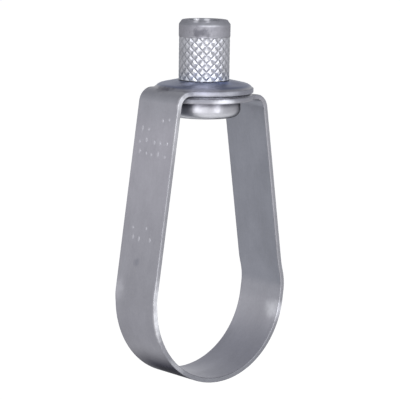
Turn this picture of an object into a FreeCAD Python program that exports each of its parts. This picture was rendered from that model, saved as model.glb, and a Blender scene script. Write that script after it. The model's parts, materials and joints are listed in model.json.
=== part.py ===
import FreeCAD, Part
import math
import os

# Swivel ring hanger for one steel pipe, in millimetres.
# Origin on the pipe's axis, +Y along the pipe, +Z up to the hanging rod.

# Strip
strip_thickness = 1.5
strip_width = 19.05

# Saddle: the half-round seat under the pipe
pipe_diameter = 48.3
pipe_clearance = 0.8

# Knees: where the saddle runs out straight, turns in and meets each leg
left_saddle_end_heading = 86.4
left_runout_length = 2.3
left_knee_heading = 99.7
left_knee_radius = 12.4
left_knee_blend_radius = 20.0
right_saddle_end_heading = 82.8
right_runout_length = 2.7
right_knee_heading = 106.2
right_knee_radius = 16.0
right_knee_blend_radius = 27.8

# Legs
leg_lean = 8.35
top_bend_radius = 3.2
take_out = 65.1

# Eyes: the round pressed ends of the strip, one above the other
eye_radius = 15.35
eye_gap = 0.8
eye_rim_flat = 0.25
eye_rim_heading = 48.0
eye_foot_radius = 0.95
eye_wall_length = 0.35
eye_shoulder_radius = 2.0
eye_cone_heading = 12.0
eye_seat_radius = 8.3
eye_seat_blend = 3.0
neck_fillet = 2.0

# Nut
barrel_radius = 7.94
barrel_length = 18.3
barrel_chamfer_height = 1.3
barrel_chamfer_width = 0.94
neck_radius = 6.35
neck_clearance = 0.3
shoulder_clearance = 0.2
flange_radius = 11.4
flange_bottom_drop = 7.1
flange_bottom_rounding = 2.4
flange_top_rounding = 2.0
flange_clearance = 0.3
thread_minor_radius = 3.97
thread_mouth_radius = 4.9

# Knurl: a diamond pattern rolled round the lower part of the barrel
knurl_length = 13.2
knurl_pitch = 2.64
knurl_count = 18
knurl_rise = 0.1
knurl_depth = 0.5

EPS = 1e-6


def heading_vector(heading):
    """Unit vector in the drawing plane for a heading in degrees."""
    angle = math.radians(heading)
    return math.cos(angle), math.sin(angle)


def trace(start, heading, steps):
    """Walk a middle line of straight runs and tangent arcs.

    Each step is ("run", length) or ("turn", radius, new heading). Returns the stations passed, each
    (point, heading), with the steps between them.
    """
    x, z = start
    stations = [((x, z), heading)]
    for step in steps:
        if step[0] == "run":
            dx, dz = heading_vector(heading)
            x += dx * step[1]
            z += dz * step[1]
        else:
            radius, new_heading = step[1], step[2]
            side = 1.0 if new_heading > heading else -1.0
            c0, s0 = heading_vector(heading)
            c1, s1 = heading_vector(new_heading)
            x += side * radius * (s1 - s0)
            z += side * radius * (c0 - c1)
            heading = new_heading
        stations.append(((x, z), heading))
    return stations


def offset_point(station, offset):
    """Point beside a station, to the right of the way walked when offset is positive."""
    (x, z), heading = station
    dx, dz = heading_vector(heading)
    return x + dz * offset, z - dx * offset


def offset_edges(start, heading, steps, offset, place):
    """Edges of the line that runs beside a middle line at a constant distance."""
    stations = trace(start, heading, steps)
    edges = []
    for step, before, after in zip(steps, stations, stations[1:]):
        first = place(*offset_point(before, offset))
        last = place(*offset_point(after, offset))
        if first.distanceToPoint(last) < EPS:
            continue
        if step[0] == "run":
            edges.append(Part.LineSegment(first, last).toShape())
            continue
        half_heading = (before[1] + after[1]) / 2.0
        half = trace(before[0], before[1], [("turn", step[1], half_heading)])[-1]
        middle = place(*offset_point(half, offset))
        edges.append(Part.Arc(first, middle, last).toShape())
    return edges


def strip_face(start, heading, steps, place):
    """Closed section of a strip of the named thickness along a middle line."""
    half = strip_thickness / 2.0
    right = offset_edges(start, heading, steps, half, place)
    left = offset_edges(start, heading, steps, -half, place)
    stations = trace(start, heading, steps)
    caps = []
    for station in (stations[0], stations[-1]):
        first = place(*offset_point(station, half))
        last = place(*offset_point(station, -half))
        caps.append(Part.LineSegment(first, last).toShape())
    loop = Part.Wire(Part.__sortEdges__(right + left + caps))
    return Part.Face(loop)


# Heights and lines that the strip and the nut share

saddle_middle_radius = pipe_diameter / 2.0 + pipe_clearance + strip_thickness / 2.0
layer_step = strip_thickness + eye_gap
upper_middle = take_out - strip_thickness / 2.0
lower_middle = upper_middle - layer_step
hole_radius = neck_radius + neck_clearance


def eye_steps():
    """Middle line of a pressed eye, from its rim in to its hole."""
    steps = [
        ("run", eye_rim_flat),
        ("turn", eye_foot_radius, eye_rim_heading),
        ("run", eye_wall_length),
        ("turn", eye_shoulder_radius, eye_cone_heading),
    ]
    shoulder = trace((0.0, 0.0), 0.0, steps)[-1][0]
    blend_reach = eye_seat_blend * math.sin(math.radians(eye_cone_heading))
    cone_reach = eye_radius - shoulder[0] - eye_seat_radius - blend_reach
    steps.append(("run", cone_reach / math.cos(math.radians(eye_cone_heading))))
    steps.append(("turn", eye_seat_blend, 0.0))
    steps.append(("run", eye_seat_radius - hole_radius))
    return steps


eye_rise = trace((0.0, 0.0), 0.0, eye_steps())[-1][0][1]
seat_top = upper_middle + eye_rise + strip_thickness / 2.0
seat_bottom = lower_middle + eye_rise - strip_thickness / 2.0


def knee_steps(side):
    """Middle line of half the saddle and one knee: side is +1 for the right leg and -1 for the left one."""
    leg_heading = 90.0 + leg_lean
    if side < 0:
        return [
            ("turn", saddle_middle_radius, left_saddle_end_heading),
            ("run", left_runout_length),
            ("turn", left_knee_radius, left_knee_heading),
            ("turn", left_knee_blend_radius, leg_heading),
        ]
    return [
        ("turn", saddle_middle_radius, right_saddle_end_heading),
        ("run", right_runout_length),
        ("turn", right_knee_radius, right_knee_heading),
        ("turn", right_knee_blend_radius, leg_heading),
    ]


def half_steps(side, layer_middle):
    """Middle line from the bottom of the saddle up one leg and in to the eye's rim."""
    bend = top_bend_radius + strip_thickness / 2.0
    start = (0.0, -saddle_middle_radius)
    steps = knee_steps(side)
    foot = trace(start, 0.0, steps)[-1][0]
    bend_rise = bend * (1.0 - math.sin(math.radians(leg_lean)))
    leg_length = (layer_middle - foot[1] - bend_rise) / math.cos(math.radians(leg_lean))
    steps.append(("run", leg_length))
    steps.append(("turn", bend, 180.0))
    corner = trace(start, 0.0, steps)[-1][0]
    steps.append(("run", corner[0] - hole_radius))
    return steps


def half_saddle_and_leg(side, layer_middle):
    """Half of the folded strip: side is +1 for the right leg and -1 for the left one."""

    def place(x, z):
        return FreeCAD.Vector(side * x, -strip_width / 2.0, z)

    face = strip_face((0.0, -saddle_middle_radius), 0.0, half_steps(side, layer_middle), place)
    return face.extrude(FreeCAD.Vector(0, strip_width, 0))


def neck_corner(side, edge, layer_middle):
    """Rounded inside corner where the strip widens into its eye: edge is +1 or -1 along Y."""
    half = strip_width / 2.0
    reach = eye_radius + neck_fillet
    rise = half + neck_fillet
    along = math.sqrt(reach * reach - rise * rise)
    bottom = layer_middle - strip_thickness / 2.0

    def place(x, y):
        return FreeCAD.Vector(side * x, edge * y, bottom)

    def on_rim(x, y):
        length = math.hypot(x, y)
        return place(x * eye_radius / length, y * eye_radius / length)

    def on_fillet(x, y):
        length = math.hypot(x, y)
        return place(along + x * neck_fillet / length, rise + y * neck_fillet / length)

    corner_x = math.sqrt(eye_radius * eye_radius - half * half)
    corner = place(corner_x, half)
    on_strip = place(along, half)
    on_eye = on_rim(along, rise)
    dip = on_fillet(-along / reach, -1.0 - rise / reach)
    rim = on_rim(along / reach + corner_x / eye_radius, rise / reach + half / eye_radius)
    face = Part.Face(Part.Wire([
        Part.LineSegment(corner, on_strip).toShape(),
        Part.Arc(on_strip, dip, on_eye).toShape(),
        Part.Arc(on_eye, rim, corner).toShape(),
    ]))
    return face.extrude(FreeCAD.Vector(0, 0, strip_thickness))


def pressed_eye(layer_middle):
    """One round dished eye with its hole, turned from the section of its middle line."""

    def place(x, z):
        return FreeCAD.Vector(eye_radius - x, 0, layer_middle + z)

    face = strip_face((0.0, 0.0), 0.0, eye_steps(), place)
    return face.revolve(FreeCAD.Vector(0, 0, 0), FreeCAD.Vector(0, 0, 1), 360)


def make_ring_band():
    """The folded strip with both eyes, as one solid."""
    rim_overlap = 0.6 * eye_rim_flat
    inside = Part.makeCylinder(
        eye_radius - rim_overlap,
        2.0 * layer_step + top_bend_radius,
        FreeCAD.Vector(0, 0, lower_middle - layer_step - top_bend_radius / 2.0),
    )
    left = half_saddle_and_leg(-1.0, upper_middle).cut(inside)
    right = half_saddle_and_leg(1.0, lower_middle).cut(inside)
    band = left.fuse(right)
    band = band.fuse(pressed_eye(upper_middle)).fuse(pressed_eye(lower_middle))
    for edge in (-1.0, 1.0):
        band = band.fuse(neck_corner(-1.0, edge, upper_middle))
        band = band.fuse(neck_corner(1.0, edge, lower_middle))
    return band.removeSplitter()


def knurl_sleeve(bottom):
    """Ring of four-sided pyramids in a diamond pattern, from a closed shell of flat facets."""
    rows = max(1, int(round(knurl_length / knurl_pitch)))
    rise = knurl_length / (2.0 * rows)
    columns = 2 * knurl_count
    peak = barrel_radius + knurl_rise
    root = peak - knurl_depth

    def node(column, row):
        angle = 2.0 * math.pi * (column % columns) / columns
        radius = peak if (column + row) % 2 == 0 else root
        return FreeCAD.Vector(radius * math.cos(angle), radius * math.sin(angle), bottom + row * rise)

    def facet(*corners):
        return Part.Face(Part.makePolygon(list(corners) + [corners[0]]))

    facets = []
    for row in range(2 * rows + 1):
        for column in range(columns):
            if (column + row) % 2:
                continue
            tip = node(column, row)
            east = node(column + 1, row)
            west = node(column - 1, row)
            if row < 2 * rows:
                north = node(column, row + 1)
                facets.append(facet(tip, east, north))
                facets.append(facet(tip, north, west))
            if row > 0:
                south = node(column, row - 1)
                facets.append(facet(tip, south, east))
                facets.append(facet(tip, west, south))
    for row in (0, 2 * rows):
        facets.append(facet(*[node(column, row) for column in range(columns)]))
    shell = Part.makeShell(facets)
    sleeve = Part.makeSolid(shell)
    if sleeve.Volume < 0:
        sleeve.reverse()
    return sleeve


def turned(points):
    """Solid of revolution about the nut's axis from (radius, height) corners and arcs.

    A point is (radius, height), or (radius, height, (mid radius, mid height)) where an arc leads to it.
    """
    edges = []
    loop = points + [points[0]]
    for before, after in zip(loop, loop[1:]):
        first = FreeCAD.Vector(before[0], 0, before[1])
        last = FreeCAD.Vector(after[0], 0, after[1])
        if len(after) == 3:
            middle = FreeCAD.Vector(after[2][0], 0, after[2][1])
            edges.append(Part.Arc(first, middle, last).toShape())
        else:
            edges.append(Part.LineSegment(first, last).toShape())
    face = Part.Face(Part.Wire(edges))
    return face.revolve(FreeCAD.Vector(0, 0, 0), FreeCAD.Vector(0, 0, 1), 360)


def rounded(centre_r, centre_z, radius, heading_mid):
    """Middle point of a quarter arc about a centre."""
    dx, dz = heading_vector(heading_mid)
    return centre_r + radius * dx, centre_z + radius * dz


def make_swivel_nut():
    """Knurled barrel, neck through both eyes and a round flange below, tapped right through."""
    shoulder = seat_top + shoulder_clearance
    knurl_top = shoulder + knurl_length
    top = shoulder + barrel_length
    flange_top = seat_bottom - flange_clearance
    bottom = flange_top - flange_bottom_drop
    slope = math.tan(math.radians(eye_cone_heading))
    flat_radius = eye_seat_radius - flange_clearance
    edge_height = flange_top - (flange_radius - flange_top_rounding - flat_radius) * slope
    low = flange_bottom_rounding
    high = flange_top_rounding

    body = turned([
        (0.0, bottom),
        (flange_radius - low, bottom),
        (flange_radius, bottom + low, rounded(flange_radius - low, bottom + low, low, -45.0)),
        (flange_radius, edge_height - high),
        (flange_radius - high, edge_height, rounded(flange_radius - high, edge_height - high, high, 45.0)),
        (flat_radius, flange_top),
        (neck_radius, flange_top),
        (neck_radius, knurl_top),
        (barrel_radius, knurl_top),
        (barrel_radius, top - barrel_chamfer_height),
        (barrel_radius - barrel_chamfer_width, top),
        (0.0, top),
    ])
    body = body.fuse(knurl_sleeve(shoulder))

    mouth = thread_mouth_radius - thread_minor_radius
    bore = turned([
        (0.0, bottom - mouth),
        (thread_mouth_radius + mouth, bottom - mouth),
        (thread_minor_radius, bottom + mouth),
        (thread_minor_radius, top - mouth),
        (thread_mouth_radius + mouth, top + mouth),
        (0.0, top + mouth),
    ])
    return body.cut(bore).removeSplitter()


def save(shape, node):
    """Write one piece, after making sure that it is a single closed solid."""
    solids = shape.Solids
    if len(solids) != 1 or not solids[0].isValid():
        raise ValueError("%s is not one valid solid" % node)
    solids[0].exportStep("parts/%s.step" % node)
    box = solids[0].BoundBox
    print("%s volume %.1f faces %d x %.2f..%.2f y %.2f..%.2f z %.2f..%.2f" % (
        node, solids[0].Volume, len(solids[0].Faces),
        box.XMin, box.XMax, box.YMin, box.YMax, box.ZMin, box.ZMax))


os.makedirs("parts", exist_ok=True)
save(make_ring_band(), "ring_band")
save(make_swivel_nut(), "swivel_nut")
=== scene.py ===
"""Looks of a swivel ring hanger: a folded steel strip whose two pressed eyes turn on a knurled nut.

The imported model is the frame. The strip and the nut are rebuilt here with rounded edges, a cut
thread, a finer knurl and their zinc finishes, and ride on the bodies of the pieces they stand for.
"""
import json
import logging
import math
from dataclasses import dataclass, field, replace
from enum import Enum
from typing import ClassVar

import bpy
import numpy as np
from mathutils import Matrix, Vector


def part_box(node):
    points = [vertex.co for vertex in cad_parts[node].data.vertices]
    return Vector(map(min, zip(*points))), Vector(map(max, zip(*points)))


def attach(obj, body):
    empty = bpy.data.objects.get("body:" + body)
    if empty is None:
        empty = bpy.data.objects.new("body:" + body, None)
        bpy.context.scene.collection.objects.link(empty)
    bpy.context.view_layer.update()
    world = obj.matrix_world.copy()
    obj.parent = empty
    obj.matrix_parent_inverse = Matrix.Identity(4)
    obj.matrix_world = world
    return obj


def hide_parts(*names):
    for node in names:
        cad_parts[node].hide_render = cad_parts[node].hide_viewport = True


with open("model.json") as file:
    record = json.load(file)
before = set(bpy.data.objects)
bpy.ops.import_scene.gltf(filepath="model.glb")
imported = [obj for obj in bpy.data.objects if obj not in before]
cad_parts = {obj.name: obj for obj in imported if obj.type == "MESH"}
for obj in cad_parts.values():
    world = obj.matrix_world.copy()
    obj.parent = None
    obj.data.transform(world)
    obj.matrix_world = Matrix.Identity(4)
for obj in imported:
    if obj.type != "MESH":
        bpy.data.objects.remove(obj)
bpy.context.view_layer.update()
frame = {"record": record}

MM = 0.001

# Range in which most values of a noise pattern lie, for a coarse one and for a fine one
COARSE_NOISE = (0.3, 0.7)
FINE_NOISE = (0.25, 0.75)

Colour = tuple[float, float, float]
Point = tuple[float, float, float]
Range = tuple[float, float]

log = logging.getLogger("ring_hanger")


class Side(Enum):
    """Which leg of the strip: the left one ends in the upper eye, the right one in the lower eye."""

    LEFT = -1
    RIGHT = 1


class Slot(Enum):
    """The record's material slots."""

    STRIP = "strip"
    NUT = "nut"


def mount_size(name: str, size: str) -> float:
    """A measured size of one of the part's mounts.

    Args:
        name: the mount's name in the record.
        size: the size's name, in millimetres there.

    Returns:
        The size in metres.
    """
    found = next(item for item in frame["record"]["mounts"] if item["name"] == name)
    return found["dims"][size] * MM


def tone(colour: Colour) -> tuple[float, float, float, float]:
    """A colour for a shader from display values of 0 to 255.

    Args:
        colour: display red, green and blue.

    Returns:
        The linear colour with full alpha.
    """
    linear = []
    for value in colour:
        share = value / 255.0
        linear.append(share / 12.92 if share <= 0.04045 else ((share + 0.055) / 1.055) ** 2.4)
    return (linear[0], linear[1], linear[2], 1.0)


def in_use(sockets: bpy.types.bpy_prop_collection, name: str) -> bpy.types.NodeSocket:
    """The socket of that name which the node's settings leave in use."""
    return next(socket for socket in sockets if socket.name == name and socket.enabled)


class Wiring:
    """Adds nodes to one node tree and links them."""

    def __init__(self, tree: bpy.types.NodeTree) -> None:
        """Keep the tree.

        Args:
            tree: the node tree to fill.
        """
        self.tree = tree

    def node(self, kind: str, **settings: object) -> bpy.types.Node:
        """Add one node.

        Args:
            kind: Blender's name for the node type.
            settings: properties of the node, by name.

        Returns:
            The new node.
        """
        made = self.tree.nodes.new(kind)
        for name, value in settings.items():
            setattr(made, name, value)
        return made

    def feed(self, socket: bpy.types.NodeSocket, value: object) -> None:
        """Set an input to a value, or link it to another node's output.

        Args:
            socket: the input.
            value: a socket, or a plain value.
        """
        if isinstance(value, bpy.types.NodeSocket):
            self.tree.links.new(value, socket)
        else:
            socket.default_value = value

    def through(self, kind: str, source: object, **settings: object) -> bpy.types.Node:
        """Add one node and feed its first input.

        Args:
            kind: Blender's name for the node type.
            source: value or socket for the first input.
            settings: properties of the node, by name.

        Returns:
            The new node.
        """
        made = self.node(kind, **settings)
        self.feed(made.inputs[0], source)
        return made

    def math(self, operation: str, *values: object) -> bpy.types.NodeSocket:
        """Add a Math node.

        Args:
            operation: what it works out.
            values: numbers or sockets for its inputs, in order.

        Returns:
            Its output.
        """
        made = self.node("ShaderNodeMath", operation=operation)
        for socket, value in zip(made.inputs, values):
            self.feed(socket, value)
        return made.outputs[0]

    def product(self, first: object, *factors: object) -> object:
        """Multiply numbers.

        Args:
            first: number or socket.
            factors: numbers or sockets.

        Returns:
            The product.
        """
        for factor in factors:
            first = self.math("MULTIPLY", first, factor)
        return first

    def vector(self, operation: str, *values: object) -> bpy.types.NodeSocket:
        """Add a Vector Math node that gives a vector.

        Args:
            operation: what it works out.
            values: vectors or sockets for its inputs, in order.

        Returns:
            Its vector.
        """
        made = self.node("ShaderNodeVectorMath", operation=operation)
        for socket, value in zip(made.inputs, values):
            self.feed(socket, value)
        return made.outputs["Vector"]

    def length(self, vector: bpy.types.NodeSocket) -> bpy.types.NodeSocket:
        """The length of a vector."""
        return self.through("ShaderNodeVectorMath", vector, operation="LENGTH").outputs["Value"]

    def times(self, vector: bpy.types.NodeSocket, factor: object) -> bpy.types.NodeSocket:
        """Scale a vector or a colour.

        Args:
            vector: the vector or colour.
            factor: number or socket.

        Returns:
            The scaled vector or colour.
        """
        made = self.through("ShaderNodeVectorMath", vector, operation="SCALE")
        self.feed(made.inputs["Scale"], factor)
        return made.outputs["Vector"]

    def parts(self, vector: bpy.types.NodeSocket) -> bpy.types.bpy_prop_collection:
        """The X, Y and Z outputs of a vector."""
        return self.through("ShaderNodeSeparateXYZ", vector).outputs

    def combined(self, x: object, y: object, z: object) -> bpy.types.NodeSocket:
        """Make a vector.

        Args:
            x: number or socket.
            y: number or socket.
            z: number or socket.

        Returns:
            The vector.
        """
        made = self.node("ShaderNodeCombineXYZ")
        for socket, value in zip(made.inputs, (x, y, z)):
            self.feed(socket, value)
        return made.outputs["Vector"]

    def span(
        self,
        value: bpy.types.NodeSocket,
        low: float,
        high: float,
        to_low: float = 0.0,
        to_high: float = 1.0,
        smooth: bool = True,
    ) -> bpy.types.NodeSocket:
        """Bring a range of a value to another range.

        Args:
            value: the socket to read.
            low: value that gives to_low.
            high: value that gives to_high, above low.
            to_low: result at the low end.
            to_high: result at the high end.
            smooth: ease both ends.

        Returns:
            The mapped output.
        """
        made = self.node("ShaderNodeMapRange")
        made.interpolation_type = "SMOOTHSTEP" if smooth else "LINEAR"
        self.feed(made.inputs["Value"], value)
        made.inputs["From Min"].default_value = low
        made.inputs["From Max"].default_value = high
        made.inputs["To Min"].default_value = to_low
        made.inputs["To Max"].default_value = to_high
        return made.outputs["Result"]

    def blend(self, factor: object, first: object, second: object) -> bpy.types.NodeSocket:
        """Mix two colours.

        Args:
            factor: share of the second colour.
            first: colour or socket.
            second: colour or socket.

        Returns:
            The mixed colour.
        """
        made = self.node("ShaderNodeMix", data_type="RGBA")
        self.feed(in_use(made.inputs, "Factor"), factor)
        self.feed(in_use(made.inputs, "A"), first)
        self.feed(in_use(made.inputs, "B"), second)
        return in_use(made.outputs, "Result")

    def attribute(self, name: str) -> bpy.types.NodeSocket:
        """A number stored at the points of the mesh."""
        return self.node("ShaderNodeAttribute", attribute_name=name).outputs["Fac"]

    def in_millimetres(self) -> bpy.types.NodeSocket:
        """The object's own coordinates, in millimetres."""
        return self.times(self.node("ShaderNodeTexCoord").outputs["Object"], 1.0 / MM)

    def facing_up(self) -> bpy.types.NodeSocket:
        """How far a surface faces up: the height of its normal."""
        return self.parts(self.node("ShaderNodeNewGeometry").outputs["Normal"])["Z"]

    def rays(self) -> tuple[bpy.types.NodeSocket, bpy.types.NodeSocket]:
        """Tell the kinds of ray apart.

        Returns:
            1 on rays from the camera, and 1 on mirrored and refracted rays.
        """
        path = self.node("ShaderNodeLightPath").outputs
        mirrored = self.math("MAXIMUM", path["Is Glossy Ray"], path["Is Transmission Ray"])
        return path["Is Camera Ray"], mirrored

    def position(self) -> bpy.types.bpy_prop_collection:
        """X, Y and Z of the points of a geometry."""
        return self.parts(self.node("GeometryNodeInputPosition").outputs[0])

    def moved(self, geometry: bpy.types.NodeSocket, place: bpy.types.NodeSocket) -> bpy.types.NodeSocket:
        """Move the points of a geometry.

        Args:
            geometry: the geometry.
            place: the points' new place.

        Returns:
            The moved geometry.
        """
        made = self.through("GeometryNodeSetPosition", geometry)
        self.feed(made.inputs["Position"], place)
        return made.outputs[0]

    def wrapped(self, radius: object, turn: object, height: object) -> bpy.types.NodeSocket:
        """Find a place round the Z axis.

        Args:
            radius: distance from the axis.
            turn: angle about it, in radians.
            height: distance along it.

        Returns:
            The place.
        """
        return self.combined(
            self.product(radius, self.math("COSINE", turn)),
            self.product(radius, self.math("SINE", turn)),
            height,
        )


@dataclass(frozen=True)
class Pattern:
    """A noise pattern: features for each millimetre, octaves, weight of the finer ones, and stretch."""

    scale: float
    detail: float = 3.0
    rough: float = 0.55
    stretch: Point | None = None

    def lay(self, w: Wiring, place: bpy.types.NodeSocket) -> bpy.types.NodeSocket:
        """Lay the pattern over coordinates.

        Args:
            w: the material's wiring.
            place: coordinates in millimetres.

        Returns:
            The pattern's value, about 0.5 in the middle.
        """
        if self.stretch is not None:
            mapping = w.through("ShaderNodeMapping", place)
            mapping.inputs["Scale"].default_value = self.stretch
            place = mapping.outputs["Vector"]
        made = w.node("ShaderNodeTexNoise")
        w.feed(made.inputs["Vector"], place)
        made.inputs["Scale"].default_value = self.scale
        made.inputs["Detail"].default_value = self.detail
        made.inputs["Roughness"].default_value = self.rough
        return made.outputs["Fac"]


@dataclass(frozen=True)
class Spot:
    """A soft-edged place of colour on a piece: a stain, or painted light such as a painted highlight,
    glint, reflection or shade.

    Centre and size are in millimetres. The border wanders by the ragged share of the size, and the
    core is the share that keeps the full strength.
    """

    centre: Point
    size: Point
    colour: Colour
    strength: float
    ragged: float = 0.12
    border: Pattern = Pattern(0.55)
    core: float = 0.1

    def lay(self, w: Wiring, place: bpy.types.NodeSocket, colour: object) -> bpy.types.NodeSocket:
        """Lay the spot over a colour.

        Args:
            w: the material's wiring.
            place: coordinates in millimetres.
            colour: the colour below.

        Returns:
            The colour with the spot on it.
        """
        away = w.vector("DIVIDE", w.vector("SUBTRACT", place, self.centre), self.size)
        border = self.border.lay(w, place)
        wander = w.span(border, *COARSE_NOISE, -self.ragged, self.ragged, smooth=False)
        far = w.math("ADD", w.length(away), wander)
        return w.blend(w.span(far, self.core, 1.0, self.strength, 0.0), colour, tone(self.colour))


def new_material(name: str) -> tuple[bpy.types.Material, Wiring, bpy.types.Node]:
    """A material with one Principled shader.

    Args:
        name: the material's name.

    Returns:
        The material, its wiring and its Principled node.
    """
    material = bpy.data.materials.new(name)
    material.use_nodes = True
    tree = material.node_tree
    tree.nodes.clear()
    wiring = Wiring(tree)
    shader = wiring.node("ShaderNodeBsdfPrincipled")
    output = wiring.node("ShaderNodeOutputMaterial")
    tree.links.new(shader.outputs["BSDF"], output.inputs["Surface"])
    return material, wiring, shader


def add_relief(
    w: Wiring, shader: bpy.types.Node, height: bpy.types.NodeSocket, strength: float, depth: float
) -> None:
    """Give a shader a fine relief.

    Args:
        w: the material's wiring.
        shader: the shader to feed.
        height: the pattern.
        strength: of the relief.
        depth: of the relief, in metres.
    """
    bump = w.node("ShaderNodeBump")
    bump.inputs["Strength"].default_value = strength
    bump.inputs["Distance"].default_value = depth
    w.feed(bump.inputs["Height"], height)
    w.feed(shader.inputs["Normal"], bump.outputs["Normal"])


@dataclass(frozen=True)
class StripZinc:
    """Galvanised strip: dull grey zinc with soft clouds and rolling grain, blue on the pressed eye.

    Heights and depths are in millimetres, apart from the relief's depth, which is in metres. A
    facing is the height of the surface's normal. Parts of the colour are painted light: painted shade
    towards the bottom, over the top bends, inside the strip and on the eye's dish, which also carries
    a bluish painted reflection; painted light where the inside faces up; a dark painted reflection
    under the saddle; and spots of painted highlight, glint and reflection.
    """

    # Painted shade: the strip grows darker towards the bottom, from high to low to foot.
    foot: Colour = (132, 132, 140)
    low: Colour = (151, 151, 159)
    high: Colour = (165, 164, 173)
    foot_at: float = -16.0
    low_at: float = 4.0
    high_at: float = 50.0
    # Painted shade over the top bends, strongest where they turn to face up.
    bend: Colour = (143, 144, 152)
    bend_at: float = 61.0
    bend_share: float = 0.6
    bend_height: Range = (58.3, 60.3)
    bend_facing: Range = (0.12, 0.42)
    # Painted shade inside the strip, with painted light where the inside turns to face up.
    inside: Colour = (136, 138, 147)
    bowl: Colour = (160, 160, 168)
    bowl_facing: Range = (-0.12, 0.25)
    seat: Colour = (148, 149, 159)
    seat_facing: Range = (0.25, 0.8)
    # Painted shade with a bluish painted reflection on the eye's up-facing dish.
    eye: Colour = (106, 112, 134)
    eye_height: Range = (65.1, 66.0)
    eye_facing: Range = (0.55, 0.86)
    # Edge tones, with painted shade darker towards the bottom and a darker, bluish painted shade and
    # reflection on the eyes' rims.
    edge: Colour = (141, 141, 147)
    edge_low: Colour = (127, 128, 135)
    edge_low_height: Range = (-20.0, -8.0)
    edge_top: Colour = (131, 132, 141)
    edge_top_height: Range = (60.8, 63.2)
    edge_blend: Range = (0.3, 0.9)
    inner_blend: Range = (0.4, 0.6)
    tick: Colour = (196, 197, 204)
    tick_share: float = 0.4
    # Painted shade and a dark painted reflection on the outside of the saddle's bottom.
    under_shade: Colour = (105, 105, 113)
    under_shade_grazing: Colour = (90, 90, 90)
    clean_grazing: Colour = (255, 255, 255)
    under_shade_facing: Range = (-0.83, -0.49)
    under_shade_slant: float = 0.0035
    under_shade_height: Range = (-6.0, 0.0)
    under_shade_depth: Range = (1.0, 9.0)
    under_shade_far_share: float = 0.75
    clouds: Pattern = Pattern(0.09, 4.0, 0.6, (0.6, 1.0, 1.0))
    cloud_shade: Range = (1.05, 0.95)
    mottle: Pattern = Pattern(1.3, 3.0, 0.6)
    mottle_shade: Range = (0.96, 1.04)
    grain: Pattern = Pattern(1.0, 3.0, 0.6, (0.12, 2.6, 1.0))
    grain_shade: Range = (0.97, 1.03)
    roughness: float = 0.40
    cloud_roughness: Range = (-0.04, 0.07)
    edge_roughness: float = 0.62
    edge_top_roughness: float = 0.76
    grain_relief: float = 0.4
    fine: Pattern = Pattern(3.5, 2.0)
    fine_relief: float = 0.35
    dents: Pattern = Pattern(0.16, 2.0, 0.4)
    dent_relief: float = 3.0
    relief_strength: float = 0.3
    relief_depth: float = 0.06 * MM
    spots: tuple[Spot, ...] = (
        # Painted light: a highlight on the left leg's outside by the knee.
        Spot((-26.3, 8.0, 3.5), (4.0, 4.0, 5.0), (176, 176, 184), 0.8),
        # A dark stain on the left leg.
        Spot((-25.3, 0.8, 12.85), (4.0, 2.0, 2.1), (122, 123, 134), 0.55, 0.2),
        # Painted highlights and glints: on the right leg's inside at the knee, and along the near edges of
        # the left leg and its top bend.
        Spot((24.9, -7.6, -6.8), (5.0, 5.6, 4.4), (198, 199, 206), 0.9),
        Spot((-24.9, -9.5, -1.5), (2.6, 1.2, 13.0), (212, 213, 218), 0.9),
        Spot((-17.5, -9.7, -19.5), (5.5, 0.7, 5.0), (200, 201, 206), 0.4),
        Spot((-15.4, -9.5, 61.6), (4.0, 1.3, 4.4), (214, 215, 220), 0.9),
        Spot((-18.2, -9.5, 51.0), (4.0, 1.2, 13.0), (166, 166, 171), 0.9),
        # Painted highlights on the rims of the lower and the upper eye, and painted light in the gap
        # between the eyes.
        Spot((-4.3, -14.8, 62.0), (6.6, 2.6, 1.3), (213, 214, 220), 0.88),
        Spot((-2.4, -15.1, 64.4), (5.4, 2.6, 1.1), (176, 178, 186), 0.6),
        Spot((-3.6, -8.5, 63.2), (14.0, 14.0, 0.85), (232, 233, 240), 0.68),
        Spot((-9.4, -11.6, 64.3), (8.5, 6.5, 1.1), (178, 179, 188), 0.85),
        # Painted reflections on the upper eye's dish, light in front of the barrel and blue to dark blue
        # beside it.
        Spot((-7.9, -9.5, 65.5), (7.2, 5.8, 2.0), (184, 186, 203), 0.9),
        Spot((-9.8, -3.9, 66.9), (3.4, 3.2, 1.5), (186, 191, 213), 0.8),
        Spot((0.2, -8.8, 67.2), (4.8, 3.8, 2.0), (113, 128, 171), 0.9, 0.2),
        Spot((4.7, -10.4, 67.0), (4.6, 5.6, 2.2), (80, 87, 115), 0.88, 0.2),
        # A dark patch where the dish rises by the neck.
        Spot((-14.7, 1.4, 65.2), (2.2, 5.8, 1.4), (84, 84, 94), 0.85, 0.3),
    )

    def material(self) -> bpy.types.Material:
        """Build the finish.

        Returns:
            The material.
        """
        material, w, shader = new_material("strip_zinc")
        lie = w.times(w.node("ShaderNodeUVMap", uv_map="strip_lie").outputs["UV"], 1.0 / MM)
        place = w.in_millimetres()
        clouds = self.clouds.lay(w, lie)
        grain = self.grain.lay(w, lie)
        shade = w.product(
            w.span(clouds, *COARSE_NOISE, *self.cloud_shade),
            w.span(self.mottle.lay(w, place), *FINE_NOISE, *self.mottle_shade, smooth=False),
            w.span(grain, *FINE_NOISE, *self.grain_shade, smooth=False),
        )
        inner = w.attribute("inner")
        edge = w.span(w.attribute("edge"), *self.edge_blend)
        colour = w.times(self.colour(w, place, inner, edge), shade)
        # Painted shade under the saddle: a darker base colour, and a dark specular tint that paints a dark
        # reflection there.
        under_shaded = self.under_shaded(w, place, inner)
        w.feed(shader.inputs["Base Color"], w.blend(under_shaded, colour, tone(self.under_shade)))
        shader.inputs["Metallic"].default_value = 1.0
        grazing = w.blend(under_shaded, tone(self.clean_grazing), tone(self.under_shade_grazing))
        w.feed(shader.inputs["Specular Tint"], grazing)

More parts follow.
